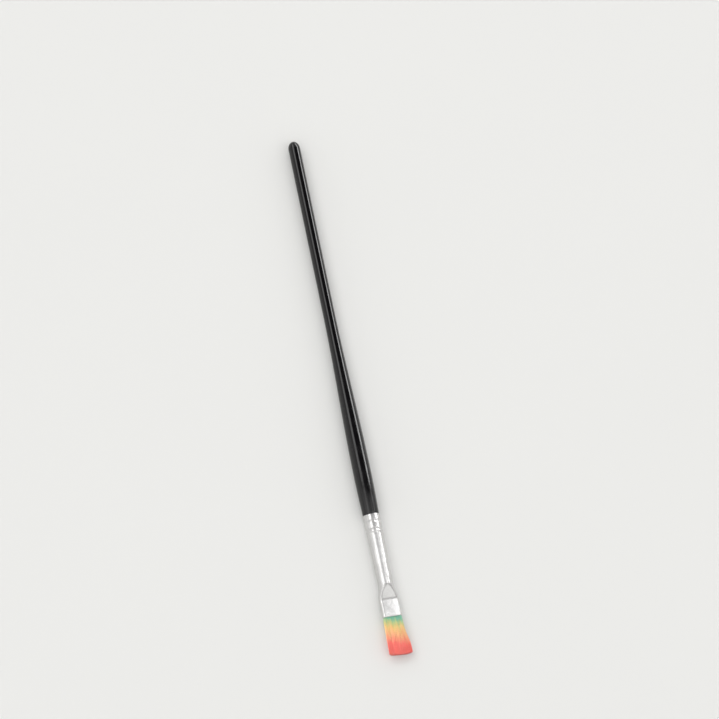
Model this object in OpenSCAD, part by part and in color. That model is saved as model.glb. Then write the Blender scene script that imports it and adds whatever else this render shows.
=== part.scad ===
// Slim flat detail brush, lying level with the broad face of its tuft up.
// X runs along the brush's axis towards the tip of the tuft. The origin is on that axis, at the
// middle of the handle's straight stem, where a stand, clip or holder grips it.

/* [Handle] */
// Length of the handle outside the ferrule
handle_l = 132; // [110:1:180]
// Diameter of the straight stem at the far end of the handle
stem_d = 4.0; // [3.2:0.1:5]
// Length of the straight stem, with its rounded end
stem_l = 62; // [40:1:75]
// Length of the stem's rounded end
dome_l = 2.6; // [2:0.1:4]
// Diameter of the belly, where the fingers hold the handle
belly_d = 6.0; // [5.4:0.1:7.2]
// Distance from the ferrule to the middle of the belly
belly_at = 14; // [8:1:20]
// How far the handle's shoulder sits in from the ferrule's outside
shoulder_step = 0.15; // [0.05:0.05:0.2]
// Length of the tenon inside the ferrule
tenon_l = 14; // [10:0.5:17]
// Chamfer on the end of the tenon
tenon_chamfer = 0.5; // [0.2:0.1:0.8]

/* [Ferrule] */
// Length of the ferrule
ferrule_l = 35; // [32:0.5:45]
// Outer diameter of the crimped band
band_d = 5.8; // [5.5:0.1:7]
// Outer diameter at the neck, where the round tube starts to go flat
neck_d = 5.15; // [4.3:0.05:5.4]
// Thickness of the tube's wall
wall = 0.25; // [0.2:0.05:0.35]
// Outer thickness across the flattened mouth
mouth_t = 2.2; // [1.8:0.1:2.8]
// Length of the flattened mouth
mouth_l = 5.5; // [4:0.5:7]
// Length over which the round tube goes flat
squeeze_l = 6.0; // [4:0.5:7]

/* [Crimp] */
// Length of the crimped band, from the end of the ferrule
band_l = 6.0; // [5:0.5:8]
// How far the tube drops inwards where the band ends
band_step = 0.05; // [0.02:0.01:0.1]
// Distance from the end of the ferrule to the first rolled groove
groove_at = 2.4; // [1.5:0.1:2.9]
// Distance from the second rolled groove to the end of the band
groove_back = 0.8; // [0.6:0.1:1.2]
// Width of a rolled groove
groove_w = 1.0; // [0.6:0.1:1.2]
// Depth of a rolled groove
groove_depth = 0.2; // [0.1:0.05:0.25]

/* [Glue] */
// Thickness of the glue film between the tenon and the ferrule
film_t = 0.1; // [0.05:0.05:0.15]
// Length of that glue film
film_l = 12; // [8:0.5:13]
// Thickness of the resin film round the roots of the hair
root_film = 0.08; // [0.04:0.02:0.14]
// Depth of the resin behind the roots
resin_back = 1.2; // [0.8:0.1:2]
// Length of the roots that the resin holds
resin_hold = 4.0; // [2:0.5:5]

/* [Tuft] */
// Length of the free hair, from the mouth to the tip
tuft_l = 13; // [9:0.5:18]
// Width of the hair just outside the mouth
base_w = 6.4; // [5.8:0.1:7.6]
// Width of the hair at its square-cut tip
tip_w = 7.4; // [5.8:0.1:9]
// Thickness of the hair at its tip
tip_t = 0.7; // [0.4:0.1:1.2]
// How much the hair swells in thickness on each face
swell = 0.5; // [0:0.1:0.7]
// Rounding of the tip's edge
tip_round = 0.3; // [0.1:0.1:0.3]
// Gap between the held hair and the free hair
bend_gap = 0.02; // [0.01:0.01:0.05]

/* [Hidden] */

// Stations along X
end_x = -(dome_l + stem_l) / 2;
crimp_x = end_x + handle_l;
mouth_x = crimp_x + ferrule_l;
neck_v = ferrule_l - mouth_l - squeeze_l;
roots_v = neck_v - resin_hold;
belly_u = handle_l - belly_at;

// Sizes that follow from the fits
shoulder_r = band_d / 2 - shoulder_step;
second_groove_at = band_l - groove_back;

// Steps that make the curves
dome_steps = 10;
taper_steps = 14;
shoulder_steps = 6;
band_steps = 48;
squeeze_steps = 12;
tuft_steps = 14;
cap_steps = 20;
round_fn = 96;

// The squeezed end starts this far inside the round tube, and is this much slimmer there
lap = 0.3;
skin = 0.004;
// How far a cut runs past the face that it opens
over = 1;

function mix(a, b, t) = a + (b - a) * t;
function ease(t) = (1 - cos(180 * t)) / 2;

// Radius of the handle at the distance u from its rounded end
function handle_r(u) =
    u < dome_l ? stem_d / 2 * sqrt(1 - pow(1 - u / dome_l, 2)) :
    u < stem_l ? stem_d / 2 :
    u < belly_u ? mix(stem_d / 2, belly_d / 2, ease((u - stem_l) / (belly_u - stem_l))) :
    mix(belly_d / 2, shoulder_r, 1 - cos(90 * (u - belly_u) / (handle_l - belly_u)));

// Depth at v of a groove rolled at the distance "at" from the crimped end
function groove(v, at) =
    abs(v - at) < groove_w / 2 ? groove_depth * (1 + cos(360 * (v - at) / groove_w)) / 2 : 0;

// Outer radius of the round tube at the distance v from its crimped end
function tube_r(v) =
    v <= band_l ? band_d / 2 - groove(v, groove_at) - groove(v, second_groove_at) :
    mix(band_d / 2 - band_step, neck_d / 2, (v - band_l) / (neck_v - band_l));

// Where the round tube's outline has a corner, between two distances from its crimped end
function tube_stations(from, to) =
    [for (v = concat([from],
                     [for (i = [0 : band_steps]) band_l * i / band_steps],
                     [band_l + band_step, to]))
        if (v >= from && v <= to) v];
function distinct(list) = [for (i = [0 : len(list) - 1]) if (i == 0 || list[i] > list[i - 1]) list[i]];

// The tube's outline between two distances, moved inwards
function tube_outline(from, to, inset) =
    [for (v = distinct(tube_stations(from, to))) [tube_r(v) - inset, crimp_x + v]];

// Half the width of the flat on a tube squeezed to the half-thickness r: its girth stays the same
function flat_half(r) = PI * (neck_d / 2 - r) / 2;

// The squeezed end's rings, moved inwards: place along X, radius of the rounded sides, half flat
function squeezed_ring(x, r, inset) = [x, r - inset, flat_half(r)];
function squeezed_rings(inset, past) =
    let (start_r = neck_d / 2 - skin, neck_x = crimp_x + neck_v)
    concat(
        [for (i = [0 : squeeze_steps])
            let (t = i / squeeze_steps)
            squeezed_ring(neck_x + squeeze_l * t, mix(start_r, mouth_t / 2, ease(t)), inset)],
        [squeezed_ring(mouth_x + past, mouth_t / 2, inset)]);

// One cross-section of a loft: two half circles of radius r, moved apart by twice "half"
function section(ring) =
    [for (side = [1, -1])
        for (i = [0 : cap_steps - 1])
            let (a = -90 + 180 * (i + 0.5) / cap_steps)
            [ring[0], side * (ring[2] + ring[1] * cos(a)), side * ring[1] * sin(a)]];

// Half width and half thickness of the free hair at the share u of its length
root_r = mouth_t / 2 - wall - root_film;
root_half = flat_half(mouth_t / 2) + root_r;
spread_share = 0.12;
function hair_half_w(u) =
    mix(base_w, tip_w, u) / 2 - (base_w / 2 - root_half) * (1 - ease(min(1, u / spread_share)));
function hair_half_t(u) = mix(root_r, tip_t / 2, u) + swell * sin(180 * u) * (1 - u);
function hair_ring(u, inset) =
    let (t = hair_half_t(u) - inset, w = hair_half_w(u) - inset)
    [mouth_x + tuft_l * u, t, w - t];

// A solid of revolution about the brush's axis, from points of radius and place along X
module turned(points) {
    rotate([0, 90, 0])
        rotate_extrude($fn = round_fn)
            polygon(points);
}

// A closed solid through rings of place along X, side radius and half flat
module loft(rings) {
    n = 2 * cap_steps;
    last = len(rings) - 1;
    polyhedron(
        points = [for (ring = rings) each section(ring)],
        faces = concat(
            [[for (i = [0 : n - 1]) i]],
            [[for (i = [n - 1 : -1 : 0]) last * n + i]],
            [for (k = [0 : last - 1])
                for (i = [0 : n - 1])
                    let (a = k * n + i, b = k * n + (i + 1) % n)
                    each [[a, a + n, b + n], [a, b + n, b]]]));
}

// Turned wooden handle, lacquered gloss black, with the tenon that the ferrule holds
module handle() {
    dome_u = [for (i = [0 : dome_steps - 1]) dome_l * (1 - cos(90 * i / dome_steps))];
    taper_u = [for (i = [0 : taper_steps]) mix(stem_l, belly_u, i / taper_steps)];
    shoulder_u = [for (i = [1 : shoulder_steps]) mix(belly_u, handle_l, i / shoulder_steps)];
    outside = [for (u = concat(dome_u, [dome_l], taper_u, shoulder_u)) [handle_r(u), end_x + u]];
    tenon = tube_outline(0, tenon_l - tenon_chamfer, wall + film_t);
    nose_r = tube_r(tenon_l) - wall - film_t - tenon_chamfer;
    color([0.03, 0.03, 0.035])
        turned(concat(outside, tenon, [[nose_r, crimp_x + tenon_l], [0, crimp_x + tenon_l]]));
}

// Film of glue round the tenon
module handle_glue() {
    outer = tube_outline(0, film_l, wall);
    inner = tube_outline(0, film_l, wall + film_t);
    color([0.85, 0.8, 0.62])
        turned(concat(outer, [for (i = [len(inner) - 1 : -1 : 0]) inner[i]]));
}

// Seamless metal tube: round and crimped at the handle, squeezed flat at the hair
module ferrule() {
    outer = tube_outline(0, neck_v, 0);
    inner = tube_outline(0, neck_v, wall);
    before = crimp_x - over;
    color([0.83, 0.83, 0.84])
        difference() {
            union() {
                turned(concat([[0, crimp_x]], outer, [[0, crimp_x + neck_v]]));
                squeezed_end(0, 0);
            }
            turned(concat([[0, before], [inner[0][0], before]], inner, [[0, crimp_x + neck_v]]));
            squeezed_end(wall, over);
        }
}

// The squeezed end as a solid, moved inwards by "inset" and running past the mouth by "past"
module squeezed_end(inset, past) {
    start = squeezed_ring(crimp_x + neck_v - lap, neck_d / 2 - skin, inset);
    loft(concat([start], squeezed_rings(inset, past)));
}

// Cup of cured resin behind and round the roots of the hair
module root_glue() {
    back_v = roots_v - resin_back;
    outer = tube_outline(back_v, neck_v, wall);
    color([0.86, 0.62, 0.25])
        turned(concat(
            [[0, crimp_x + back_v]], outer,
            [[tube_r(neck_v) - wall - root_film, crimp_x + neck_v],
             [tube_r(roots_v) - wall - root_film, crimp_x + roots_v],
             [0, crimp_x + roots_v]]));
}

// The hair that the ferrule holds, up to its mouth
module hair_roots() {
    inset = wall + root_film;
    foot = [crimp_x + roots_v, tube_r(roots_v) - inset - skin, 0];
    color([0.05, 0.55, 0.5])
        loft(concat([foot], squeezed_rings(inset, -bend_gap)));
}

// The free hair: flat, flaring a little to a square-cut tip
module tuft() {
    round_u = 1 - tip_round / tuft_l;
    body = [for (i = [0 : tuft_steps]) hair_ring(round_u * pow(i / tuft_steps, 1.5), 0)];
    color([0.98, 0.42, 0.32])
        loft(concat(body, [hair_ring(1, tip_round * 0.6)]));
}

handle();
handle_glue();
ferrule();
root_glue();
hair_roots();
tuft();
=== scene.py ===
"""Slim flat detail brush: gloss black turned handle, crimped metal ferrule and a rainbow-dyed tuft.

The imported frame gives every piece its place. Lengths are in metres, and X runs along the brush's
axis towards the tip of the tuft.
"""

import math
import random

import bpy
import numpy as np
from bpy.props import FloatProperty, FloatVectorProperty, IntProperty, PointerProperty
from mathutils import Matrix, Vector, noise


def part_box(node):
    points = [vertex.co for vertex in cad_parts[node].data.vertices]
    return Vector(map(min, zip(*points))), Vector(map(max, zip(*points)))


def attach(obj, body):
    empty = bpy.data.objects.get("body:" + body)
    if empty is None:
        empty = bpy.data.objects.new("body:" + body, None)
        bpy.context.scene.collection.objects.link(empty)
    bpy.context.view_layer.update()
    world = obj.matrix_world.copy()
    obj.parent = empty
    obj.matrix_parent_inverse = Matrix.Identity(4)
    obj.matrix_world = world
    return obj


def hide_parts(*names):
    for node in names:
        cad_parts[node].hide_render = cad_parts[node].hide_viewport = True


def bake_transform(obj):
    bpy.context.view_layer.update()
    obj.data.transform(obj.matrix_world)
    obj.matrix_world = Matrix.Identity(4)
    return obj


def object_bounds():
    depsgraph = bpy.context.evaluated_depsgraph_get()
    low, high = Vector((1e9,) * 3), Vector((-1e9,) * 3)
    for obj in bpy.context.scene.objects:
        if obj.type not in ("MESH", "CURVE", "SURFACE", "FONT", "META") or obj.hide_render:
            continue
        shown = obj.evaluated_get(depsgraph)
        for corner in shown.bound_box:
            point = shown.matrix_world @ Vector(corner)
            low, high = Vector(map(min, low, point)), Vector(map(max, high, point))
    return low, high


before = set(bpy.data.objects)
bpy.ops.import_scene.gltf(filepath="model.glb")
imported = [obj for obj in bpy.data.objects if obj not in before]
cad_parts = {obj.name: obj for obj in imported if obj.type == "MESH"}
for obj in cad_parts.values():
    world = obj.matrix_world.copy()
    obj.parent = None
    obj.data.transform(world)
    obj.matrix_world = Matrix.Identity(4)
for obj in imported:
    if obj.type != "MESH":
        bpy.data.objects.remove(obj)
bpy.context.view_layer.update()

bl_info = {
    "name": "Flat Detail Brush",
    "version": (1, 0, 0),
    "blender": (4, 5, 0),
    "location": "View3D > Sidebar > Brush",
    "description": "Builds a slim flat brush: handle, ferrule, glue, tuft and a plain studio",
    "category": "Add Mesh",
}

MM = 0.001
END_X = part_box("handle")[0].x
CRIMP_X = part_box("ferrule")[0].x
MOUTH_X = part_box("ferrule")[1].x
ROOTS_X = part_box("hair_roots")[0].x
TIP_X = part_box("tuft")[1].x
FLOOR_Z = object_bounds()[0].z
MIDDLE = Vector(((END_X + TIP_X) / 2, 0.0, 0.0))
# Rings of vertices along each stretch of the handle and of the ferrule
DOME_RINGS, STEM_RINGS, RISE_RINGS, BELLY_RINGS, EDGE_RINGS, TENON_RINGS = 24, 40, 60, 20, 8, 110
CRIMP_RINGS, NECK_RINGS, SQUEEZE_RINGS, FLAT_RINGS, LIP_RINGS = 110, 30, 40, 24, 10
# Half the length of the slope where the crimped band ends
BAND_SLOPE = 0.1 * MM
# How much further the dyes run on one edge of the hair than in its middle, per metre across
DYE_SLANT = 18.0
# Seed of every random draw
DRAW_SEED = 11
# Sides of one filament, and the clumps that the filaments lean towards
FILAMENT_SIDES = 5
CLUMPS = 15
# Where the rings of a filament stand, as shares of its free length, and how it thins at the last four
FREE_STATIONS = (0.0, 0.04, 0.09, 0.16, 0.25, 0.36, 0.48, 0.6, 0.72, 0.83, 0.92, 0.97, 1.0)
TIP_TAPER = (0.92, 0.78, 0.66, 0.4)
# How far a filament stands from its even place in the mouth, as a share of the pitch
FOOT_SHIFT = 0.22
# The share of filaments that lie with the others, and how much more the rest sway
TIDY_SHARE, STRAY_SWAY = 0.985, 5.0
# Scene-linear colours that no setting holds
DUST = (0.2, 0.19, 0.18, 1.0)
DUST_ON_METAL = (0.35, 0.33, 0.3, 1.0)
DULLED_HAIR = (0.9, 0.8, 0.62, 1.0)
RESIN_DEEP, RESIN_CLEAR = (0.42, 0.19, 0.04, 1.0), (0.72, 0.42, 0.12, 1.0)
GLUE_DEEP, GLUE_CLEAR = (0.55, 0.46, 0.28, 1.0), (0.75, 0.68, 0.48, 1.0)
WALLS, CEILING = (0.84, 0.84, 0.835, 1.0), (0.52, 0.515, 0.505, 1.0)
FRONT_GLOW, DARK_PATCH = (1.12, 1.12, 1.11, 1.0), (0.04, 0.04, 0.045, 1.0)
STRIP, BESIDE_STRIP = (1.3, 1.29, 1.27, 1.0), (0.3, 0.3, 0.3, 1.0)
# Half the side of the square floor
FLOOR_HALF = 6.0
# The key softbox stands far off and is large, so it lights the whole floor alike
KEY_DISTANCE, KEY_SIZE = 9.0, 9.0


# -------------------------------- settings


def length(name, description, millimetres):
    """A length property whose default is given in millimetres."""
    return FloatProperty(
        name=name, description=description, default=millimetres * MM, min=0.0, unit="LENGTH", precision=5
    )


def colour(name, description, red, green, blue):
    """A colour property whose default is given in display values from 0 to 255."""
    return FloatVectorProperty(
        name=name,
        description=description,
        default=[linear(red), linear(green), linear(blue)],
        min=0.0,
        max=1.0,
        size=3,
        subtype="COLOR",
    )


def linear(display):
    """One display value from 0 to 255 as scene-linear light."""
    share = display / 255
    return share / 12.92 if share <= 0.04045 else ((share + 0.055) / 1.055) ** 2.4


class HandleSettings(bpy.types.PropertyGroup):
    stem_diameter: length("Stem diameter", "Straight stem at the far end of the handle", 4.0)
    stem_length: length("Stem length", "Straight stem with its rounded end", 62.0)
    dome_length: length("Rounded end", "Length of the stem's rounded end", 2.6)
    belly_diameter: length("Belly diameter", "Thickest place, where the fingers hold it", 6.0)
    belly_distance: length("Belly distance", "From the ferrule to the middle of the belly", 14.0)
    shoulder_diameter: length("Shoulder diameter", "Where the handle meets the ferrule", 5.5)
    shoulder_round: length("Shoulder rounding", "Lacquered edge at the ferrule", 0.2)
    tenon_length: length("Tenon length", "Bare wood inside the ferrule", 14.0)
    tenon_gap: length("Glue gap", "From the ferrule's bore to the tenon", 0.1)
    sides: IntProperty(name="Sides", description="Faces round the handle", default=96, min=24, max=256)
    lacquer: colour("Lacquer", "Gloss lacquer on the wood", 12, 11, 12)
    wood: colour("Wood", "Bare birch of the tenon", 214, 184, 142)


class FerruleSettings(bpy.types.PropertyGroup):
    band_diameter: length("Band diameter", "Crimped band at the handle", 5.8)
    neck_diameter: length("Neck diameter", "Where the round tube starts to go flat", 5.15)
    wall: length("Wall", "Thickness of the tube", 0.25)
    mouth_thickness: length("Mouth thickness", "Across the flattened mouth, outside", 2.2)
    mouth_length: length("Mouth length", "Flattened end", 5.5)
    squeeze_length: length("Squeeze length", "Over which the round tube goes flat", 6.0)
    band_length: length("Band length", "Crimped band", 6.0)
    band_step: length("Band step", "Drop in radius where the band ends", 0.05)
    first_groove: length("First groove", "From the ferrule's end", 2.4)
    second_groove: length("Second groove", "From the ferrule's end", 5.2)
    groove_width: length("Groove width", "Width of each rolled groove", 1.0)
    groove_depth: length("Groove depth", "Depth of each rolled groove", 0.2)
    crown: length("Crown", "How far the flattened faces bulge", 0.07)
    ripple: length("Ripple", "Unevenness that the pressing leaves", 0.006)
    sides: IntProperty(name="Sides", description="Faces round the tube", default=168, min=48, max=320)
    metal: colour("Metal", "Bright tube", 212, 211, 210)


class TuftSettings(bpy.types.PropertyGroup):
    filaments: IntProperty(name="Filaments", description="Number of filaments", default=1700, min=50)
    filament_diameter: length("Filament diameter", "One filament", 0.074)
    film: length("Root film", "Resin between the hair and the tube", 0.08)
    base_width: length("Base width", "Hair just outside the mouth", 6.4)
    tip_width: length("Tip width", "Hair at the square-cut tip", 7.2)
    tip_thickness: length("Tip thickness", "Hair at its tip", 0.75)
    swell: length("Swell", "Bulge of each broad face", 0.5)
    wisp: length("Wisp", "How far one edge of the hair splays out", 0.9)
    teal: colour("At the ferrule", "Dye at the ferrule", 122, 202, 176)
    green: colour("Green", "Dye after the teal", 198, 216, 150)
    yellow: colour("Yellow", "Dye after the green", 248, 218, 144)
    orange: colour("Orange", "Dye in the middle", 255, 196, 148)
    coral: colour("At the tip", "Dye at the tip", 255, 122, 116)


class StageSettings(bpy.types.PropertyGroup):
    floor: colour("Floor", "Plain pale floor", 244, 244, 242)
    view_tilt: FloatProperty(
        name="View tilt",
        description="Angle between the line of sight and the brush",
        default=math.radians(76.5),
        subtype="ANGLE",
    )
    view_turn: FloatProperty(
        name="View turn",
        description="How far round the brush's axis the camera stands from straight above",
        default=math.radians(16.0),
        subtype="ANGLE",
    )
    view_roll: FloatProperty(
        name="View roll",
        description="Lean of the brush in the view",
        default=math.radians(11.9),
        subtype="ANGLE",
    )
    camera_distance: FloatProperty(
        name="Camera distance", description="From the brush", default=1.45, unit="LENGTH"
    )
    lens: FloatProperty(name="Lens", description="Focal length", default=217.0, unit="CAMERA")
    aim_right: FloatProperty(
        name="Aim right",
        description="Aim beside the brush's middle",
        default=4.6 * MM,
        unit="LENGTH",
        precision=5,
    )
    aim_up: FloatProperty(
        name="Aim up",
        description="Aim above the brush's middle",
        default=11.8 * MM,
        unit="LENGTH",
        precision=5,
    )


# -------------------------------- shapes


def mix(a, b, t):
    return a + (b - a) * t


def ease(t):
    """0 to 1, level at both ends."""
    return (1 - math.cos(math.pi * t)) / 2


def between(start, stop, steps):
    """Evenly spaced values from start to stop, both included."""
    return [mix(start, stop, i / steps) for i in range(steps + 1)]


def handle_radius(h, u):
    """Radius of the handle at the distance u from its rounded end."""
    stem = h.stem_diameter / 2
    belly = h.belly_diameter / 2
    belly_u = CRIMP_X - END_X - h.belly_distance
    if u < h.dome_length:
        return stem * math.sqrt(max(0.0, 1 - (1 - u / h.dome_length) ** 2))
    if u < h.stem_length:
        return stem
    if u < belly_u:
        return mix(stem, belly, ease((u - h.stem_length) / (belly_u - h.stem_length)))
    share = (u - belly_u) / h.belly_distance
    return mix(belly, h.shoulder_diameter / 2, 1 - math.cos(math.pi / 2 * share))


def groove(f, v):
    """Depth of the rolled grooves at the distance v from the crimped end."""
    depth = 0.0
    for at in (f.first_groove, f.second_groove):
        if abs(v - at) < f.groove_width / 2:
            depth += f.groove_depth * (1 + math.cos(2 * math.pi * (v - at) / f.groove_width)) / 2
    return depth


def neck_distance(f):
    """From the crimped end to where the tube starts to go flat."""
    return MOUTH_X - CRIMP_X - f.mouth_length - f.squeeze_length


def tube_section(f, v):
    """Radius of the rounded sides, and half the flat, of the tube at the distance v from its crimp."""
    neck_v = neck_distance(f)
    neck = f.neck_diameter / 2
    if v <= f.band_length:
        return f.band_diameter / 2 - groove(f, v), 0.0
    if v <= neck_v:
        share = (v - f.band_length) / (neck_v - f.band_length)
        return mix(f.band_diameter / 2 - f.band_step, neck, share), 0.0
    side = mix(neck, f.mouth_thickness / 2, ease(min(1.0, (v - neck_v) / f.squeeze_length)))
    return side, math.pi * (neck - side) / 2


def outline_point(side, flat, share):
    """A point and its outward normal on an outline of two half circles joined by flats.

    share runs from 0 to 1 round the outline, starting at the middle of the +Y side.
    """
    arc = math.pi * side
    run = share * (4 * flat + 2 * arc)
    if run < arc / 2:
        angle, centre = run / side, flat
    elif run < arc / 2 + 2 * flat:
        return (flat - (run - arc / 2), side), (0.0, 1.0)
    elif run < 1.5 * arc + 2 * flat:
        angle, centre = (run - 2 * flat) / side, -flat
    elif run < 1.5 * arc + 4 * flat:
        return (run - 1.5 * arc - 3 * flat, -side), (0.0, -1.0)
    else:
        angle, centre = (run - 4 * flat) / side, flat
    normal = (math.cos(angle), math.sin(angle))
    return (centre + side * normal[0], side * normal[1]), normal


def mesh_object(name, vertices, faces, material_names, face_materials=None):
    """A smooth mesh object in the row frame."""
    mesh = bpy.data.meshes.new(name)
    mesh.from_pydata(vertices, [], faces)
    mesh.polygons.foreach_set("use_smooth", [True] * len(mesh.polygons))
    for material_name in material_names:
        mesh.materials.append(bpy.data.materials[material_name])
    if face_materials is not None:
        mesh.polygons.foreach_set("material_index", face_materials)
    mesh.update()
    piece = bpy.data.objects.new(name, mesh)
    bpy.context.scene.collection.objects.link(piece)
    return piece


def ring_faces(rings, sides, closed):
    """Quads between rings of vertices, facing outwards where the rings run towards +X."""
    faces = []
    for k in range(rings if closed else rings - 1):
        here, there = k * sides, (k + 1) % rings * sides
        for i in range(sides):
            j = (i + 1) % sides
            faces.append((here + i, here + j, there + j, there + i))
    return faces


def turned(name, profile, sides, material_names, material_of):
    """A piece turned about the X axis from a profile of (x, radius), closed at both ends."""
    middle = profile[1:-1]
    vertices = []
    for x, radius in middle:
        for i in range(sides):
            angle = 2 * math.pi * i / sides
            vertices.append((x, -radius * math.cos(angle), radius * math.sin(angle)))
    faces = ring_faces(len(middle), sides, closed=False)
    kinds = [material_of(k) for k in range(len(middle) - 1) for _ in range(sides)]
    start, stop = len(vertices), len(vertices) + 1
    vertices += [(profile[0][0], 0.0, 0.0), (profile[-1][0], 0.0, 0.0)]
    last = (len(middle) - 1) * sides
    for i in range(sides):
        j = (i + 1) % sides
        faces.append((start, j, i))
        faces.append((stop, last + i, last + j))
    kinds += [material_of(0), material_of(len(middle) - 1)] * sides
    return mesh_object(name, vertices, faces, material_names, kinds)


# -------------------------------- shader groups


def socket(tree, name, kind, into, default=None):
    """One named input or output of a node group."""
    item = tree.interface.new_socket(name=name, in_out="INPUT" if into else "OUTPUT", socket_type=kind)
    if default is not None:
        item.default_value = default
    return item


def add(tree, kind, column=0, row=0, **values):
    """A shader node, with attributes set by name."""
    made = tree.nodes.new(kind)
    made.location = (column * 200, -row * 180)
    for name, value in values.items():
        setattr(made, name, value)
    return made


def feed(tree, target, source):
    """Links a socket, or sets a plain value."""
    if isinstance(source, bpy.types.NodeSocket):
        tree.links.new(source, target)
    else:
        target.default_value = source


def maths(tree, operation, a, b=None, column=0, row=0, clamp=False):
    """The result of one maths node."""
    made = add(tree, "ShaderNodeMath", column, row, operation=operation, use_clamp=clamp)
    feed(tree, made.inputs[0], a)
    if b is not None:
        feed(tree, made.inputs[1], b)
    return made.outputs[0]


def apart(tree, a, b, column=0, row=0):
    """How far apart two values are."""
    return maths(tree, "ABSOLUTE", maths(tree, "SUBTRACT", a, b, column, row), None, column + 1, row)


def spread(tree, value, low, high, to_low, to_high, column=0, row=0):
    """A value mapped from one range to another, and held inside it."""
    made = add(tree, "ShaderNodeMapRange", column, row)
    for name, source in zip(
        ("Value", "From Min", "From Max", "To Min", "To Max"), (value, low, high, to_low, to_high)
    ):
        feed(tree, made.inputs[name], source)
    return made.outputs["Result"]


def blended(tree, share, a, b, column=0, row=0):
    """Two colours mixed by a share."""
    made = add(tree, "ShaderNodeMix", column, row, data_type="RGBA")
    feed(tree, made.inputs["Factor"], share)
    feed(tree, made.inputs[6], a)
    feed(tree, made.inputs[7], b)
    return made.outputs[2]


def new_group(name, inputs, outputs):
    """A shader node group with its input and output nodes."""
    tree = bpy.data.node_groups.new(name, "ShaderNodeTree")
    for label, kind, default in inputs:
        socket(tree, label, kind, True, default)
    for label, kind in outputs:
        socket(tree, label, kind, False)
    return tree, add(tree, "NodeGroupInput", 0), add(tree, "NodeGroupOutput", 8)


def streaks_group():
    """Streaks that run along the brush: grain, drawing lines and strands."""
    tree, given, out = new_group(
        "Lengthwise Streaks",
        [
            ("Vector", "NodeSocketVector", None),
            ("Fineness", "NodeSocketFloat", 4000.0),
            ("Stretch", "NodeSocketFloat", 40.0),
        ],
        [("Value", "NodeSocketFloat")],
    )
    parts = add(tree, "ShaderNodeSeparateXYZ", 1)
    feed(tree, parts.inputs[0], given.outputs["Vector"])
    squeezed = maths(tree, "DIVIDE", parts.outputs["X"], given.outputs["Stretch"], 2)
    joined = add(tree, "ShaderNodeCombineXYZ", 3)
    feed(tree, joined.inputs["X"], squeezed)
    feed(tree, joined.inputs["Y"], parts.outputs["Y"])
    feed(tree, joined.inputs["Z"], parts.outputs["Z"])
    pattern = add(tree, "ShaderNodeTexNoise", 4)
    feed(tree, pattern.inputs["Vector"], joined.outputs[0])
    feed(tree, pattern.inputs["Scale"], given.outputs["Fineness"])
    feed(tree, pattern.inputs["Detail"], 3.0)
    feed(tree, out.inputs["Value"], pattern.outputs["Fac"])
    return tree


def dust_group():
    """Sparse small specks with broken edges."""
    tree, given, out = new_group(
        "Dust Specks",
        [
            ("Vector", "NodeSocketVector", None),
            ("Scale", "NodeSocketFloat", 900.0),
            ("Amount", "NodeSocketFloat", 0.1),
        ],
        [("Mask", "NodeSocketFloat")],
    )
    cells = add(tree, "ShaderNodeTexVoronoi", 1)
    feed(tree, cells.inputs["Vector"], given.outputs["Vector"])
    feed(tree, cells.inputs["Scale"], given.outputs["Scale"])
    near = spread(tree, cells.outputs["Distance"], 0.08, 0.2, 1.0, 0.0, 2)
    parts = add(tree, "ShaderNodeSeparateXYZ", 2, 1)
    feed(tree, parts.inputs[0], cells.outputs["Color"])
    chosen = maths(tree, "LESS_THAN", parts.outputs["X"], given.outputs["Amount"], 3, 1)
    feed(tree, out.inputs["Mask"], maths(tree, "MULTIPLY", near, chosen, 4))
    return tree


def scratches_group():
    """Hairline scratches in two directions, broken up along their length."""
    tree, given, out = new_group(
        "Hairline Scratches",
        [
            ("Vector", "NodeSocketVector", None),
            ("Scale", "NodeSocketFloat", 300.0),
            ("Amount", "NodeSocketFloat", 0.3),
        ],
        [("Mask", "NodeSocketFloat")],
    )
    masks = []
    for row, (turn, stretch) in enumerate(((0.5, 14.0), (-0.9, 22.0))):
        placed = add(tree, "ShaderNodeMapping", 1, row)
        feed(tree, placed.inputs["Vector"], given.outputs["Vector"])
        placed.inputs["Rotation"].default_value = (turn * 0.4, turn * 0.6, turn)
        placed.inputs["Scale"].default_value = (1.0, stretch, stretch)
        pattern = add(tree, "ShaderNodeTexNoise", 2, row)
        feed(tree, pattern.inputs["Vector"], placed.outputs[0])
        feed(tree, pattern.inputs["Scale"], given.outputs["Scale"])
        feed(tree, pattern.inputs["Detail"], 1.0)
        masks.append(spread(tree, pattern.outputs["Fac"], 0.66, 0.72, 0.0, 1.0, 3, row))
    both = maths(tree, "MAXIMUM", masks[0], masks[1], 4)
    feed(tree, out.inputs["Mask"], maths(tree, "MULTIPLY", both, given.outputs["Amount"], 5))
    return tree


def handling_group():
    """A soft patchy mask between two places along the brush, where it is touched or rubbed."""
    tree, given, out = new_group(
        "Handling Wear",
        [
            ("Vector", "NodeSocketVector", None),
            ("Middle", "NodeSocketFloat", 0.08),
            ("Reach", "NodeSocketFloat", 0.03),
            ("Patch Scale", "NodeSocketFloat", 160.0),
        ],
        [("Mask", "NodeSocketFloat")],
    )
    parts = add(tree, "ShaderNodeSeparateXYZ", 1)
    feed(tree, parts.inputs[0], given.outputs["Vector"])
    away = apart(tree, parts.outputs["X"], given.outputs["Middle"], 2)
    near = spread(tree, maths(tree, "DIVIDE", away, given.outputs["Reach"], 4), 0.4, 1.0, 1.0, 0.0, 5)
    patches = add(tree, "ShaderNodeTexNoise", 3, 1)
    feed(tree, patches.inputs["Vector"], given.outputs["Vector"])
    feed(tree, patches.inputs["Scale"], given.outputs["Patch Scale"])
    broken = spread(tree, patches.outputs["Fac"], 0.42, 0.62, 0.0, 1.0, 4, 1)
    feed(tree, out.inputs["Mask"], maths(tree, "MULTIPLY", near, broken, 6))
    return tree


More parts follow.
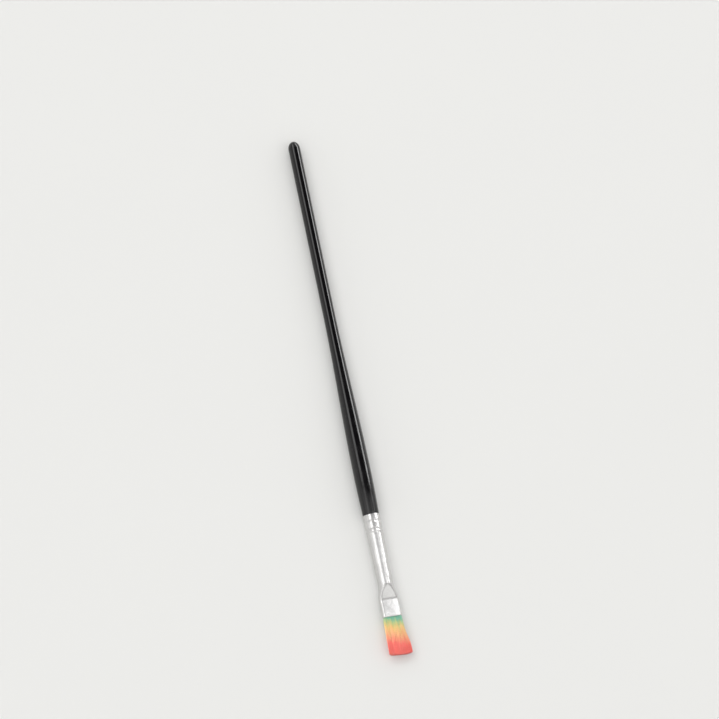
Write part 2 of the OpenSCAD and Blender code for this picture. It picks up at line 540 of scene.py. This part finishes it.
def use_group(tree, name, column, row, **values):
    """A placed node group whose inputs are set or linked by name; underscores stand for spaces."""
    made = add(tree, "ShaderNodeGroup", column, row, node_tree=bpy.data.node_groups[name])
    for label, source in values.items():
        feed(tree, made.inputs[label.replace("_", " ")], source)
    return made.outputs[0]


# -------------------------------- materials


def new_material(name, **plain):
    """A node material, its Principled shader and the object coordinates."""
    material = bpy.data.materials.new(name)
    material.use_nodes = True
    tree = material.node_tree
    shader = tree.nodes["Principled BSDF"]
    shader.location = (1400, 0)
    for label, value in plain.items():
        shader.inputs[label.replace("_", " ")].default_value = value
    place = add(tree, "ShaderNodeTexCoord", 0).outputs["Object"]
    return tree, shader, place


def bump(tree, shader, height, strength, distance, column=6, row=3):
    """Relief of a real height, in metres, on the shader's normal."""
    made = add(tree, "ShaderNodeBump", column, row)
    made.inputs["Strength"].default_value = strength
    made.inputs["Distance"].default_value = distance
    feed(tree, made.inputs["Height"], height)
    feed(tree, shader.inputs["Normal"], made.outputs[0])


def rgba(colour_value):
    return (*colour_value, 1.0)


def scaled(colour_value, share):
    return (*[c * share for c in colour_value], 1.0)


def lacquer_material(h):
    """Gloss black lacquer: orange peel, faint grain under it, dust, hairlines and a rubbed belly."""
    tree, shader, place = new_material("Gloss black lacquer", Specular_IOR_Level=0.5)
    grain = use_group(tree, "Lengthwise Streaks", 1, 0, Vector=place, Fineness=1500.0, Stretch=22.0)
    dust = use_group(tree, "Dust Specks", 1, 1, Vector=place, Scale=1300.0, Amount=0.035)
    hairlines = use_group(tree, "Hairline Scratches", 1, 2, Vector=place, Scale=420.0, Amount=1.0)
    grip = CRIMP_X - h.belly_distance
    rubbed = use_group(
        tree, "Handling Wear", 1, 3, Vector=place, Middle=grip, Reach=0.045, Patch_Scale=240.0
    )
    peel = add(tree, "ShaderNodeTexNoise", 1, 4)
    feed(tree, peel.inputs["Vector"], place)
    feed(tree, peel.inputs["Scale"], 900.0)
    feed(tree, peel.inputs["Detail"], 1.0)
    tone = blended(tree, grain, scaled(h.lacquer, 0.8), scaled(h.lacquer, 1.3), 2)
    dusty = blended(tree, maths(tree, "MULTIPLY", dust, 0.3, 2, 1), tone, DUST, 3)
    feed(tree, shader.inputs["Base Color"], dusty)
    gloss = spread(tree, grain, 0.3, 0.7, 0.07, 0.11, 2, 2)
    gloss = maths(tree, "ADD", gloss, maths(tree, "MULTIPLY", rubbed, 0.10, 3, 2), 4, 2)
    gloss = maths(tree, "ADD", gloss, maths(tree, "MULTIPLY", hairlines, 0.12, 3, 3), 5, 2)
    gloss = maths(tree, "ADD", gloss, maths(tree, "MULTIPLY", dust, 0.35, 4, 3), 6, 2, clamp=True)
    feed(tree, shader.inputs["Roughness"], gloss)
    relief = maths(tree, "ADD", peel.outputs["Fac"], maths(tree, "MULTIPLY", grain, 0.6, 2, 4), 3, 4)
    relief = maths(tree, "ADD", relief, maths(tree, "MULTIPLY", dust, 1.5, 3, 5), 4, 4)
    bump(tree, shader, relief, 0.5, 0.006 * MM)


def wood_material(h):
    """Bare birch of the tenon: pale, with fine darker grain along it."""
    tree, shader, place = new_material("Bare birch")
    grain = use_group(tree, "Lengthwise Streaks", 1, 0, Vector=place, Fineness=2600.0, Stretch=26.0)
    pores = use_group(tree, "Lengthwise Streaks", 1, 1, Vector=place, Fineness=9000.0, Stretch=12.0)
    rings = spread(tree, grain, 0.3, 0.7, 0.0, 1.0, 2)
    tone = blended(tree, rings, scaled(h.wood, 0.62), rgba(h.wood), 3)
    dark = spread(tree, pores, 0.62, 0.72, 0.0, 0.6, 2, 1)
    feed(tree, shader.inputs["Base Color"], blended(tree, dark, tone, scaled(h.wood, 0.35), 4))
    feed(tree, shader.inputs["Roughness"], spread(tree, grain, 0.3, 0.7, 0.62, 0.8, 3, 2))
    bump(tree, shader, maths(tree, "SUBTRACT", grain, dark, 3, 3), 0.6, 0.02 * MM)


def metal_material(f):
    """Bright drawn tube: drawing lines, smudges, hairlines and a rubbed, slightly rougher crimped band.
    """
    tree, shader, place = new_material("Bright drawn metal", Metallic=1.0)
    lines = use_group(tree, "Lengthwise Streaks", 1, 0, Vector=place, Fineness=7000.0, Stretch=60.0)
    middle, band = (CRIMP_X + MOUTH_X) / 2, CRIMP_X + f.band_length / 2
    smudges = use_group(
        tree, "Handling Wear", 1, 1, Vector=place, Middle=middle, Reach=0.03, Patch_Scale=330.0
    )
    hairlines = use_group(tree, "Hairline Scratches", 1, 2, Vector=place, Scale=650.0, Amount=1.0)
    rubbed = use_group(
        tree, "Handling Wear", 1, 3, Vector=place, Middle=band, Reach=0.0045, Patch_Scale=800.0
    )
    dust = use_group(tree, "Dust Specks", 1, 4, Vector=place, Scale=1500.0, Amount=0.03)
    tone = blended(tree, smudges, rgba(f.metal), scaled(f.metal, 0.94), 2)
    tone = blended(tree, maths(tree, "MULTIPLY", dust, 0.5, 2, 1), tone, DUST_ON_METAL, 3)
    feed(tree, shader.inputs["Base Color"], tone)
    rough = spread(tree, lines, 0.35, 0.65, 0.15, 0.21, 2, 2)
    rough = maths(tree, "ADD", rough, maths(tree, "MULTIPLY", smudges, 0.09, 3, 2), 4, 2)
    rough = maths(tree, "ADD", rough, maths(tree, "MULTIPLY", hairlines, 0.12, 3, 3), 5, 2)
    rough = maths(tree, "ADD", rough, maths(tree, "MULTIPLY", rubbed, 0.05, 4, 3), 6, 2)
    rough = maths(tree, "ADD", rough, maths(tree, "MULTIPLY", dust, 0.4, 5, 3), 7, 2, clamp=True)
    feed(tree, shader.inputs["Roughness"], rough)
    relief = maths(tree, "SUBTRACT", lines, maths(tree, "MULTIPLY", hairlines, 0.8, 2, 5), 3, 5)
    bump(tree, shader, relief, 0.5, 0.003 * MM)


def film_material(name, low, high, rough):
    """A cured adhesive: uneven colour with small bubbles."""
    tree, shader, place = new_material(name)
    body = add(tree, "ShaderNodeTexNoise", 1)
    feed(tree, body.inputs["Vector"], place)
    feed(tree, body.inputs["Scale"], 700.0)
    bubbles = use_group(tree, "Dust Specks", 1, 1, Vector=place, Scale=3500.0, Amount=0.35)
    tone = blended(tree, body.outputs["Fac"], low, high, 2)
    feed(tree, shader.inputs["Base Color"], blended(tree, bubbles, tone, high, 3))
    gloss = spread(tree, body.outputs["Fac"], 0.3, 0.7, rough, rough + 0.15, 2, 1)
    feed(tree, shader.inputs["Roughness"], gloss)
    bump(tree, shader, maths(tree, "SUBTRACT", body.outputs["Fac"], bubbles, 2, 2), 0.5, 0.02 * MM)


def hair_material(t):
    """Dyed filaments: a rainbow gradient along each one, uneven from one filament to the next."""
    tree, shader, place = new_material("Rainbow dyed filament")
    shader.inputs["Subsurface Weight"].default_value = 0.7
    shader.inputs["Subsurface Scale"].default_value = 0.3 * MM
    shader.subsurface_method = "BURLEY"
    shader.inputs["Subsurface Radius"].default_value = (1.0, 0.7, 0.6)
    along = add(tree, "ShaderNodeAttribute", 0, 1, attribute_name="along").outputs["Fac"]
    strand = add(tree, "ShaderNodeAttribute", 0, 2, attribute_name="strand").outputs["Fac"]
    patches = use_group(tree, "Lengthwise Streaks", 1, 0, Vector=place, Fineness=1100.0, Stretch=7.0)
    uneven = maths(tree, "ADD", maths(tree, "MULTIPLY", strand, 0.1, 1, 1), patches, 2)
    uneven = maths(tree, "MULTIPLY", maths(tree, "SUBTRACT", uneven, 0.55, 3), 0.42, 4)
    parts = add(tree, "ShaderNodeSeparateXYZ", 2, 2)
    feed(tree, parts.inputs[0], place)
    slant = maths(tree, "MULTIPLY", parts.outputs["Y"], -DYE_SLANT, 3, 2)
    share = maths(tree, "ADD", maths(tree, "ADD", along, uneven, 5), slant, 6)
    ramp = add(tree, "ShaderNodeValToRGB", 7)
    feed(tree, ramp.inputs[0], share)
    stops = (
        (0.0, rgba(t.teal)),
        (0.05, rgba(t.teal)),
        (0.14, rgba(t.green)),
        (0.29, rgba(t.yellow)),
        (0.5, rgba(t.orange)),
        (0.74, rgba(t.coral)),
        (1.0, rgba(t.coral)),
    )
    for place_along, _ in stops[2:]:
        ramp.color_ramp.elements.new(place_along)
    for element, (place_along, value) in zip(ramp.color_ramp.elements, stops):
        element.position = place_along
        element.color = value
    dull = spread(tree, strand, 0.0, 1.0, 0.0, 0.2, 6, 1)
    feed(tree, shader.inputs["Base Color"], blended(tree, dull, ramp.outputs["Color"], DULLED_HAIR, 8))
    fine = use_group(tree, "Lengthwise Streaks", 1, 3, Vector=place, Fineness=20000.0, Stretch=20.0)
    feed(tree, shader.inputs["Roughness"], spread(tree, fine, 0.3, 0.7, 0.34, 0.5, 2, 3))
    bump(tree, shader, fine, 0.3, 0.002 * MM)


def floor_material(s):
    """Plain pale floor with a barely seen unevenness."""
    tree, shader, place = new_material("Pale floor")
    mottle = add(tree, "ShaderNodeTexNoise", 1)
    feed(tree, mottle.inputs["Vector"], place)
    feed(tree, mottle.inputs["Scale"], 14.0)
    uneven = mottle.outputs["Fac"]
    tone = blended(tree, uneven, scaled(s.floor, 0.97), rgba(s.floor), 2)
    feed(tree, shader.inputs["Base Color"], tone)
    feed(tree, shader.inputs["Roughness"], spread(tree, uneven, 0.3, 0.7, 0.75, 0.85, 2, 1))


# -------------------------------- pieces


def build_handle(h, f):
    """Turned handle: rounded end, straight stem, belly, rounded shoulder and bare tenon."""
    shoulder_u = CRIMP_X - END_X
    round_start = shoulder_u - h.shoulder_round
    belly_u = shoulder_u - h.belly_distance
    quarter_turn = [math.pi / 2 * i / DOME_RINGS for i in range(DOME_RINGS + 1)]
    stations = [h.dome_length * (1 - math.cos(angle)) for angle in quarter_turn]
    stations += between(h.dome_length, h.stem_length, STEM_RINGS)[1:]
    stations += between(h.stem_length, belly_u, RISE_RINGS)[1:]
    stations += between(belly_u, round_start, BELLY_RINGS)[1:]
    profile = [(END_X + u, handle_radius(h, u)) for u in stations]
    edge = handle_radius(h, shoulder_u)
    for i in range(1, EDGE_RINGS + 1):
        angle = math.pi / 2 * i / EDGE_RINGS
        inward = h.shoulder_round * (1 - math.cos(angle))
        profile.append((END_X + round_start + h.shoulder_round * math.sin(angle), edge - inward))
    lacquered = len(profile) - 2
    chamfer = h.tenon_length * 0.04
    for v in between(0.0, h.tenon_length - chamfer, TENON_RINGS):
        profile.append((CRIMP_X + v, tube_section(f, v)[0] - f.wall - h.tenon_gap))
    profile.append((CRIMP_X + h.tenon_length, profile[-1][1] - chamfer))
    profile.append((CRIMP_X + h.tenon_length, 0.0))
    return turned(
        "handle_lacquered",
        profile,
        h.sides,
        ["Gloss black lacquer", "Bare birch"],
        lambda k: 0 if k < lacquered else 1,
    )


def ferrule_rings(f):
    """Rings of (distance from the crimped end, inset from the outside), all round the wall's section."""
    total = MOUTH_X - CRIMP_X
    neck_v = neck_distance(f)
    lip = f.wall / 2
    half_turn = [math.pi * i / LIP_RINGS for i in range(LIP_RINGS + 1)]
    outside = between(lip, f.band_length - BAND_SLOPE, CRIMP_RINGS)
    outside += between(f.band_length + BAND_SLOPE, neck_v, NECK_RINGS)
    outside += between(neck_v, neck_v + f.squeeze_length, SQUEEZE_RINGS)[1:]
    outside += between(neck_v + f.squeeze_length, total - lip, FLAT_RINGS)[1:]
    rings = [(v, 0.0) for v in outside]
    rings += [(total - lip + lip * math.sin(a), lip * (1 - math.cos(a))) for a in half_turn[1:]]
    rings += [(v, f.wall) for v in reversed(outside[:-1])]
    rings += [(lip - lip * math.sin(a), lip * (1 + math.cos(a))) for a in half_turn[1:-1]]
    return rings


def build_ferrule(f):
    """Drawn tube with two rolled grooves, squeezed flat at the mouth, with its wall and rounded rims."""
    rings = ferrule_rings(f)
    neck_v = neck_distance(f)
    vertices = []
    for v, inset in rings:
        side, flat = tube_section(f, v)
        pressed = ease(min(1.0, max(0.0, (v - neck_v) / f.squeeze_length)))
        for i in range(f.sides):
            (y, z), normal = outline_point(side, flat, i / f.sides)
            bulge = f.crown * pressed * max(0.0, 1 - (y / (flat + side)) ** 2) * abs(normal[1])
            uneven = noise.noise(Vector((v, y * 1.2, z * 2.0)) * 900.0) * f.ripple
            uneven *= 0.15 + 0.85 * pressed
            out = bulge + uneven - inset
            vertices.append((CRIMP_X + v, y + normal[0] * out, z + normal[1] * out))
    return mesh_object(
        "ferrule_tube", vertices, ring_faces(len(rings), f.sides, closed=True), ["Bright drawn metal"]
    )


def limit(y, side, flat):
    """Half thickness at y of an outline of two half circles joined by flats."""
    past = np.clip(np.abs(y) - flat, 0.0, side)
    return np.sqrt(np.maximum(side**2 - past**2, 0.0))


def root_section(t, f, x):
    """Side radius and half flat of the held hair at the place x."""
    side, flat = tube_section(f, x - CRIMP_X)
    return side - f.wall - t.film, flat


def free_section(t, f, u):
    """Side radius and half flat of the free hair at the share u of its length."""
    mouth_side, mouth_flat = tube_section(f, MOUTH_X - CRIMP_X)
    root_side = mouth_side - f.wall - t.film
    width = mix(t.base_width, t.tip_width, u) / 2
    width -= (t.base_width / 2 - mouth_flat - root_side) * (1 - ease(min(1.0, u / 0.12)))
    thickness = mix(root_side, t.tip_thickness / 2, u) + t.swell * math.sin(math.pi * u) * (1 - u)
    return thickness, width - thickness


def filament_feet(t, f, draw):
    """Where the filaments stand in the mouth, as shares of its half width and local half thickness."""
    mouth_side, flat = tube_section(f, MOUTH_X - CRIMP_X)
    side = mouth_side - f.wall - t.film
    area = 4 * flat * side + math.pi * side**2
    pitch = math.sqrt(area / t.filaments * 2 / math.sqrt(3))
    feet = []
    rows = int(side / (pitch * math.sqrt(3) / 2)) + 1
    columns = int((flat + side) / pitch) + 1
    for row in range(-rows, rows + 1):
        for column in range(-columns, columns + 1):
            y = (column + 0.5 * (row % 2)) * pitch + draw.uniform(-FOOT_SHIFT, FOOT_SHIFT) * pitch
            z = row * pitch * math.sqrt(3) / 2 + draw.uniform(-FOOT_SHIFT, FOOT_SHIFT) * pitch
            room = float(limit(y, side, flat))
            if abs(y) < flat + side and abs(z) < room:
                feet.append((y / (flat + side), z / room))
    draw.shuffle(feet)
    return feet


def filament_path(t, foot, clumps, draw, sections):
    """Centre line of one filament: points, and the share of the free length at each."""
    across, through = foot
    clump = min(clumps, key=lambda c: abs(c - across))
    pull = draw.uniform(0.25, 0.6)
    stray = 1.0 if draw.random() < TIDY_SHARE else STRAY_SWAY
    sway = [draw.gauss(0.0, 0.035 * MM) * stray for _ in range(2)]
    wave = draw.uniform(0.6, 1.6)
    edge = max(0.0, (across - 0.72) / 0.28)
    reach = 1.0 - 0.04 * abs(across) ** 6 - abs(draw.gauss(0.0, 0.009)) + 0.015 * across
    points = []
    for u, x, side, flat in sections:
        width = flat + side
        free = max(0.0, u)
        y = across * width + (clump - across) * width * pull * free**2
        z = through * float(limit(min(abs(y), width * 0.999), side, flat))
        swing = math.sin(math.pi * wave * free) * free
        y += sway[0] * swing
        z += sway[1] * swing
        y += t.wisp * edge * ease(min(1.0, max(0.0, (free - 0.3) / 0.5)))
        here = x if u <= 0 else MOUTH_X + (TIP_X - MOUTH_X) * u * reach
        points.append((here, y, z, free * reach))
    return points


def build_tuft(t, f, name, feet, clumps, draw):
    """Filaments from their roots in the resin to the cut tip, each a thin tapered tube."""
    sides = FILAMENT_SIDES
    held = between(ROOTS_X, MOUTH_X, 4)[:-1]
    sections = [(-1.0, x, *root_section(t, f, x)) for x in held]
    free_length = TIP_X - MOUTH_X
    sections += [(u, MOUTH_X + free_length * u, *free_section(t, f, u)) for u in FREE_STATIONS]
    rings = len(sections)
    count = len(feet)
    taper = np.array([1.0] * (rings - len(TIP_TAPER)) + list(TIP_TAPER))
    paths = np.array([filament_path(t, foot, clumps, draw, sections) for foot in feet])
    size = np.array([draw.uniform(0.8, 1.1) for _ in feet])
    angles = 2 * np.pi * (np.arange(sides) + 0.5) / sides
    radius = t.filament_diameter / 2 * size[:, None] * taper[None, :]
    tubes = np.repeat(paths[:, :, None, :3], sides, axis=2)
    tubes[..., 1] += radius[..., None] * np.cos(angles)
    tubes[..., 2] += radius[..., None] * np.sin(angles)
    vertices = tubes.reshape(-1, 3)
    tips = paths[:, -1, :3] + np.array([0.35 * t.filament_diameter, 0.0, 0.0])
    first = np.arange(count)[:, None, None] * rings * sides
    ring = np.arange(rings - 1)[None, :, None] * sides
    here, beside = np.arange(sides), (np.arange(sides) + 1) % sides
    near, far = first + ring, first + ring + sides
    quads = np.stack([near + here, near + beside, far + beside, far + here], -1).reshape(-1, 4)[:, ::-1]
    last = first[:, 0] + (rings - 1) * sides
    points = np.broadcast_to(len(vertices) + np.arange(count)[:, None], (count, sides))
    caps = np.stack([last + beside, last + here, points], -1)
    faces = quads.tolist() + caps.reshape(-1, 3)[:, ::-1].tolist()
    piece = mesh_object(name, np.vstack([vertices, tips]).tolist(), faces, ["Rainbow dyed filament"])
    along = np.concatenate([np.repeat(paths[:, :, 3], sides, axis=1).ravel(), paths[:, -1, 3]])
    strand = np.array([draw.random() for _ in feet])
    strands = np.concatenate([np.repeat(strand, rings * sides), strand])
    for label, values in (("along", along), ("strand", strands)):
        layer = piece.data.attributes.new(label, "FLOAT", "POINT")
        layer.data.foreach_set("value", values.astype(np.float32))
    lay_out(piece.data, rings, sides, count)
    return piece


def lay_out(mesh, rings, sides, count):
    """A texture map with one row for each side of each filament, so that a bake fills it all."""
    layer = mesh.uv_layers.new(name="OFBake")
    rows = count * sides
    quads = count * (rings - 1) * sides
    index = np.arange(quads)
    row = index // ((rings - 1) * sides) * sides + index % sides
    ring = index // sides % (rings - 1)
    u = np.stack([ring, ring + 1, ring + 1, ring], -1)[:, [3, 2, 1, 0]] / rings
    v = np.stack([row, row, row + 1, row + 1], -1)[:, [3, 2, 1, 0]] / rows
    cap = np.arange(count * sides)
    cap_u = np.tile(np.array([1.0, (rings - 1) / rings, (rings - 1) / rings]), (len(cap), 1))
    cap_v = np.stack([cap + 0.5, cap + 1, cap], -1) / rows
    flat = np.concatenate([np.stack([u, v], -1).ravel(), np.stack([cap_u, cap_v], -1).ravel()])
    layer.data.foreach_set("uv", flat.astype(np.float32))


# -------------------------------- stage


def camera_axes(s):
    """The camera's place, its right, its up and the way back from what it looks at."""
    back = Vector(
        (
            math.cos(s.view_tilt),
            -math.sin(s.view_tilt) * math.sin(s.view_turn),
            math.sin(s.view_tilt) * math.cos(s.view_turn),
        )
    )
    level_up = Vector((-1.0, 0.0, 0.0))
    level_up = (level_up - back * level_up.dot(back)).normalized()
    level_right = level_up.cross(back)
    up = level_right * math.sin(s.view_roll) + level_up * math.cos(s.view_roll)
    right = level_right * math.cos(s.view_roll) - level_up * math.sin(s.view_roll)
    place = MIDDLE + right * s.aim_right + up * s.aim_up + back * s.camera_distance
    return place, right, up, back


def mirrored_way(s, degrees, point):
    """What a round face at a point of the brush's axis mirrors to the camera.

    The way is given in degrees from straight up towards +Y.
    """
    lengthwise = -(camera_axes(s)[0] - point).normalized().x
    crosswise = math.sqrt(1 - lengthwise**2)
    angle = math.radians(degrees)
    return Vector((lengthwise, crosswise * math.sin(angle), crosswise * math.cos(angle)))


def softbox(name, target, way, distance, across, along, brightness, floor=True, gloss=True, side=0):
    """A rectangular softbox that faces a point of the brush, with its length along the brush.

    Brightness is what a perfect mirror would show of it. It may light the floor and the hair, show
    in the gloss, or both. A side of -1 or 1 puts all of it on the handle's or the tip's side of
    that point.
    """
    lamp = bpy.data.lights.new(name, "AREA")
    lamp.shape = "RECTANGLE"
    lamp.size, lamp.size_y = across, along
    lamp.energy = math.pi * across * along * brightness
    holder = bpy.data.objects.new(name, lamp)
    length_way = Vector((1.0, 0.0, 0.0))
    length_way = (length_way - way * length_way.dot(way)).normalized()
    turn = Matrix((length_way.cross(way), length_way, way)).transposed().to_4x4()
    place = target + way * distance + length_way * side * along / 2
    holder.matrix_world = Matrix.Translation(place) @ turn
    holder.visible_camera = False
    holder.visible_diffuse = floor
    holder.visible_glossy = gloss
    bpy.context.scene.collection.objects.link(holder)


def ceiling_strips(tree, parts):
    """Long bright strips overhead, along the brush, for whoever looks from its ends or sides."""
    lengthwise = maths(tree, "ABSOLUTE", parts.outputs["X"], None, 2, 6)
    squared = maths(tree, "MULTIPLY", parts.outputs["X"], parts.outputs["X"], 2, 7)
    crosswise = maths(tree, "SQRT", maths(tree, "SUBTRACT", 1.0, squared, 3, 7), None, 4, 7)
    sideways = maths(tree, "DIVIDE", parts.outputs["Y"], crosswise, 5, 7)
    strips = []
    for row, middle in enumerate((-0.58, 0.45)):
        away = apart(tree, sideways, middle, 6, 7 + row)
        strips.append(spread(tree, away, 0.1, 0.2, 1.0, 0.0, 8, 7 + row))
    tone = blended(tree, maths(tree, "ADD", strips[0], strips[1], 9, 7), BESIDE_STRIP, STRIP, 10, 7)
    overhead = spread(tree, parts.outputs["Z"], 0.28, 0.42, 0.0, 1.0, 3, 6)
    endwise = spread(tree, lengthwise, 0.5, 0.62, 0.0, 1.0, 4, 6)
    return tone, maths(tree, "MULTIPLY", overhead, endwise, 5, 6)


def build_world(s):
    """Pale walls, a dimmer ceiling, a glow in front and a dark patch that keeps the lacquer black."""
    world = bpy.data.worlds.new("Studio")
    bpy.context.scene.world = world
    world.use_nodes = True
    tree = world.node_tree
    back = tree.nodes["Background"]
    way = add(tree, "ShaderNodeTexCoord", 0).outputs["Generated"]
    parts = add(tree, "ShaderNodeSeparateXYZ", 1)
    feed(tree, parts.inputs[0], way)
    height = spread(tree, parts.outputs["Z"], 0.2, 0.5, 0.0, 1.0, 2)
    behind = spread(tree, parts.outputs["X"], 0.05, 0.3, 1.0, 0.0, 2, 4)
    dimmed = maths(tree, "MULTIPLY", height, behind, 3, 4)
    tone = blended(tree, dimmed, WALLS, CEILING, 4)
    front = spread(tree, parts.outputs["X"], 0.08, 0.22, 0.0, 1.0, 2, 9)
    high = spread(tree, parts.outputs["Z"], 0.6, 0.75, 0.0, 1.0, 2, 10)
    tone = blended(tree, maths(tree, "MULTIPLY", front, high, 3, 9), tone, FRONT_GLOW, 5, 4)
    strips, share = ceiling_strips(tree, parts)
    tone = blended(tree, share, tone, strips, 11, 4)
    patch = mirrored_way(s, 9.5, MIDDLE)
    sides = (("X", patch.x, 0.1, 0.25), ("Y", patch.y, 0.42, 0.56))
    masks = []
    for row, (axis, middle, inner, outer) in enumerate(sides):
        away = apart(tree, parts.outputs[axis], middle, 2, row + 1)
        masks.append(spread(tree, away, inner, outer, 1.0, 0.0, 4, row + 1))
    above = maths(tree, "GREATER_THAN", parts.outputs["Z"], 0.0, 4, 3)
    dark = maths(tree, "MULTIPLY", maths(tree, "MULTIPLY", masks[0], masks[1], 5), above, 6)
    feed(tree, back.inputs["Color"], blended(tree, dark, tone, DARK_PATCH, 7))
    back.inputs["Strength"].default_value = 1.0


def build_floor():
    """A wide level floor just under the brush."""
    ways = ((-1, -1), (1, -1), (1, 1), (-1, 1))
    corners = [(x * FLOOR_HALF, y * FLOOR_HALF, FLOOR_Z) for x, y in ways]
    return mesh_object("floor", corners, [(0, 1, 2, 3)], ["Pale floor"])


def build_camera(s):
    """The camera: down the brush from its tip's side, a little round its axis, and rolled."""
    place, right, up, back = camera_axes(s)
    lens = bpy.data.cameras.new("camera")
    lens.lens = s.lens
    lens.clip_start, lens.clip_end = 0.05, 30.0
    camera = bpy.data.objects.new("camera", lens)
    turn = Matrix((right, up, back)).transposed().to_4x4()
    camera.matrix_world = Matrix.Translation(place) @ turn
    bpy.context.scene.collection.objects.link(camera)
    bpy.context.scene.camera = camera


# -------------------------------- operators


class BRUSH_OT_finishes(bpy.types.Operator):
    """Make the shared surface effects and every material"""

    bl_idname = "brush.finishes"
    bl_label = "Finishes"

    def execute(self, context):
        scene = context.scene
        for make in (streaks_group, dust_group, scratches_group, handling_group):
            make()
        lacquer_material(scene.brush_handle)
        wood_material(scene.brush_handle)
        metal_material(scene.brush_ferrule)
        film_material("Cured resin", RESIN_DEEP, RESIN_CLEAR, 0.15)
        film_material("Dried glue", GLUE_DEEP, GLUE_CLEAR, 0.45)
        hair_material(scene.brush_tuft)
        floor_material(scene.brush_stage)
        return {"FINISHED"}


class BRUSH_OT_handle(bpy.types.Operator):
    """Build the turned and lacquered handle"""

    bl_idname = "brush.handle"
    bl_label = "Handle"

    def execute(self, context):
        piece = build_handle(context.scene.brush_handle, context.scene.brush_ferrule)
        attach(piece, "brush")
        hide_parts("handle")
        return {"FINISHED"}


class BRUSH_OT_ferrule(bpy.types.Operator):
    """Build the crimped and flattened ferrule"""

    bl_idname = "brush.ferrule"
    bl_label = "Ferrule"

    def execute(self, context):
        piece = build_ferrule(context.scene.brush_ferrule)
        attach(piece, "brush")
        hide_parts("ferrule")
        return {"FINISHED"}


class BRUSH_OT_glue(bpy.types.Operator):
    """Give the two hidden adhesives their cured look"""

    bl_idname = "brush.glue"
    bl_label = "Glue"

    def execute(self, context):
        for name, finish in (("handle_glue", "Dried glue"), ("root_glue", "Cured resin")):
            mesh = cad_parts[name].data
            mesh.materials.clear()
            mesh.materials.append(bpy.data.materials[finish])
        return {"FINISHED"}


class BRUSH_OT_tuft(bpy.types.Operator):
    """Build the filaments, from their roots in the resin to the cut tip"""

    bl_idname = "brush.tuft"
    bl_label = "Tuft"

    def execute(self, context):
        t, f = context.scene.brush_tuft, context.scene.brush_ferrule
        draw = random.Random(DRAW_SEED)
        feet = filament_feet(t, f, draw)
        clumps = [mix(-1.0, 1.0, (i + draw.uniform(0.3, 0.7)) / CLUMPS) for i in range(CLUMPS)]
        half = len(feet) // 2
        for name, part in (("hair_first_half", feet[:half]), ("hair_second_half", feet[half:])):
            piece = build_tuft(t, f, name, part, clumps, draw)
            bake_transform(piece)
            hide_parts("tuft", "hair_roots")
        return {"FINISHED"}


class BRUSH_OT_stage(bpy.types.Operator):
    """Set up the floor, the softboxes and the camera"""

    bl_idname = "brush.stage"
    bl_label = "Studio"

    def execute(self, context):
        s = context.scene.brush_stage
        context.scene.view_settings.view_transform = "Standard"
        build_world(s)
        build_floor()
        up_left = Vector((-0.35, -0.35, 0.87)).normalized()
        softbox("key softbox", MIDDLE, up_left, KEY_DISTANCE, KEY_SIZE, KEY_SIZE, 1.3, gloss=False)
        crimp = Vector((CRIMP_X, 0.0, 0.0))
        flats = Vector((MOUTH_X - context.scene.brush_ferrule.mouth_length, 0.0, 0.0))
        for name, point, angle, distance, across, along, brightness, side in (
            ("left softbox", crimp, -33.5, 1.2, 0.49, 1.6, 1.9, -1),
            ("right strip", crimp, 55.0, 1.1, 0.33, 1.5, 8.0, -1),
            ("ferrule left panel", crimp, -53.0, 0.2, 0.17, 0.05, 0.65, 1),
            ("ferrule right panel", crimp, 36.0, 0.2, 0.15, 0.05, 0.65, 1),
            ("ferrule fill", crimp, -8.0, 0.2, 0.4, 0.05, 0.8, 1),
            ("mouth left panel", flats, 9.5, 0.2, 0.028, 0.03, 1.1, 1),
            ("mouth right panel", flats, 22.5, 0.2, 0.028, 0.03, 1.1, 1),
        ):
            way = mirrored_way(s, angle, point)
            softbox(name, point, way, distance, across, along, brightness, floor=False, side=side)
        build_camera(s)
        return {"FINISHED"}


class BRUSH_PT_panel(bpy.types.Panel):
    """The brush's pieces, in the order in which they are built"""

    bl_label = "Flat Detail Brush"
    bl_idname = "BRUSH_PT_panel"
    bl_space_type = "VIEW_3D"
    bl_region_type = "UI"
    bl_category = "Brush"

    def draw(self, context):
        for step in STEPS:
            self.layout.operator(step.bl_idname)


SETTINGS = {
    "brush_handle": HandleSettings,
    "brush_ferrule": FerruleSettings,
    "brush_tuft": TuftSettings,
    "brush_stage": StageSettings,
}
STEPS = (
    BRUSH_OT_finishes,
    BRUSH_OT_handle,
    BRUSH_OT_ferrule,
    BRUSH_OT_glue,
    BRUSH_OT_tuft,
    BRUSH_OT_stage,
)


def register():
    for made in (*SETTINGS.values(), *STEPS, BRUSH_PT_panel):
        bpy.utils.register_class(made)
    for name, group in SETTINGS.items():
        setattr(bpy.types.Scene, name, PointerProperty(type=group))


def unregister():
    for name in SETTINGS:
        delattr(bpy.types.Scene, name)
    for made in reversed((*SETTINGS.values(), *STEPS, BRUSH_PT_panel)):
        bpy.utils.unregister_class(made)


def main():
    """Registers the add-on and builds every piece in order."""
    register()
    bpy.ops.brush.finishes()
    bpy.ops.brush.handle()
    bpy.ops.brush.ferrule()
    bpy.ops.brush.glue()
    bpy.ops.brush.tuft()
    bpy.ops.brush.stage()


if __name__ == "__main__":
    main()
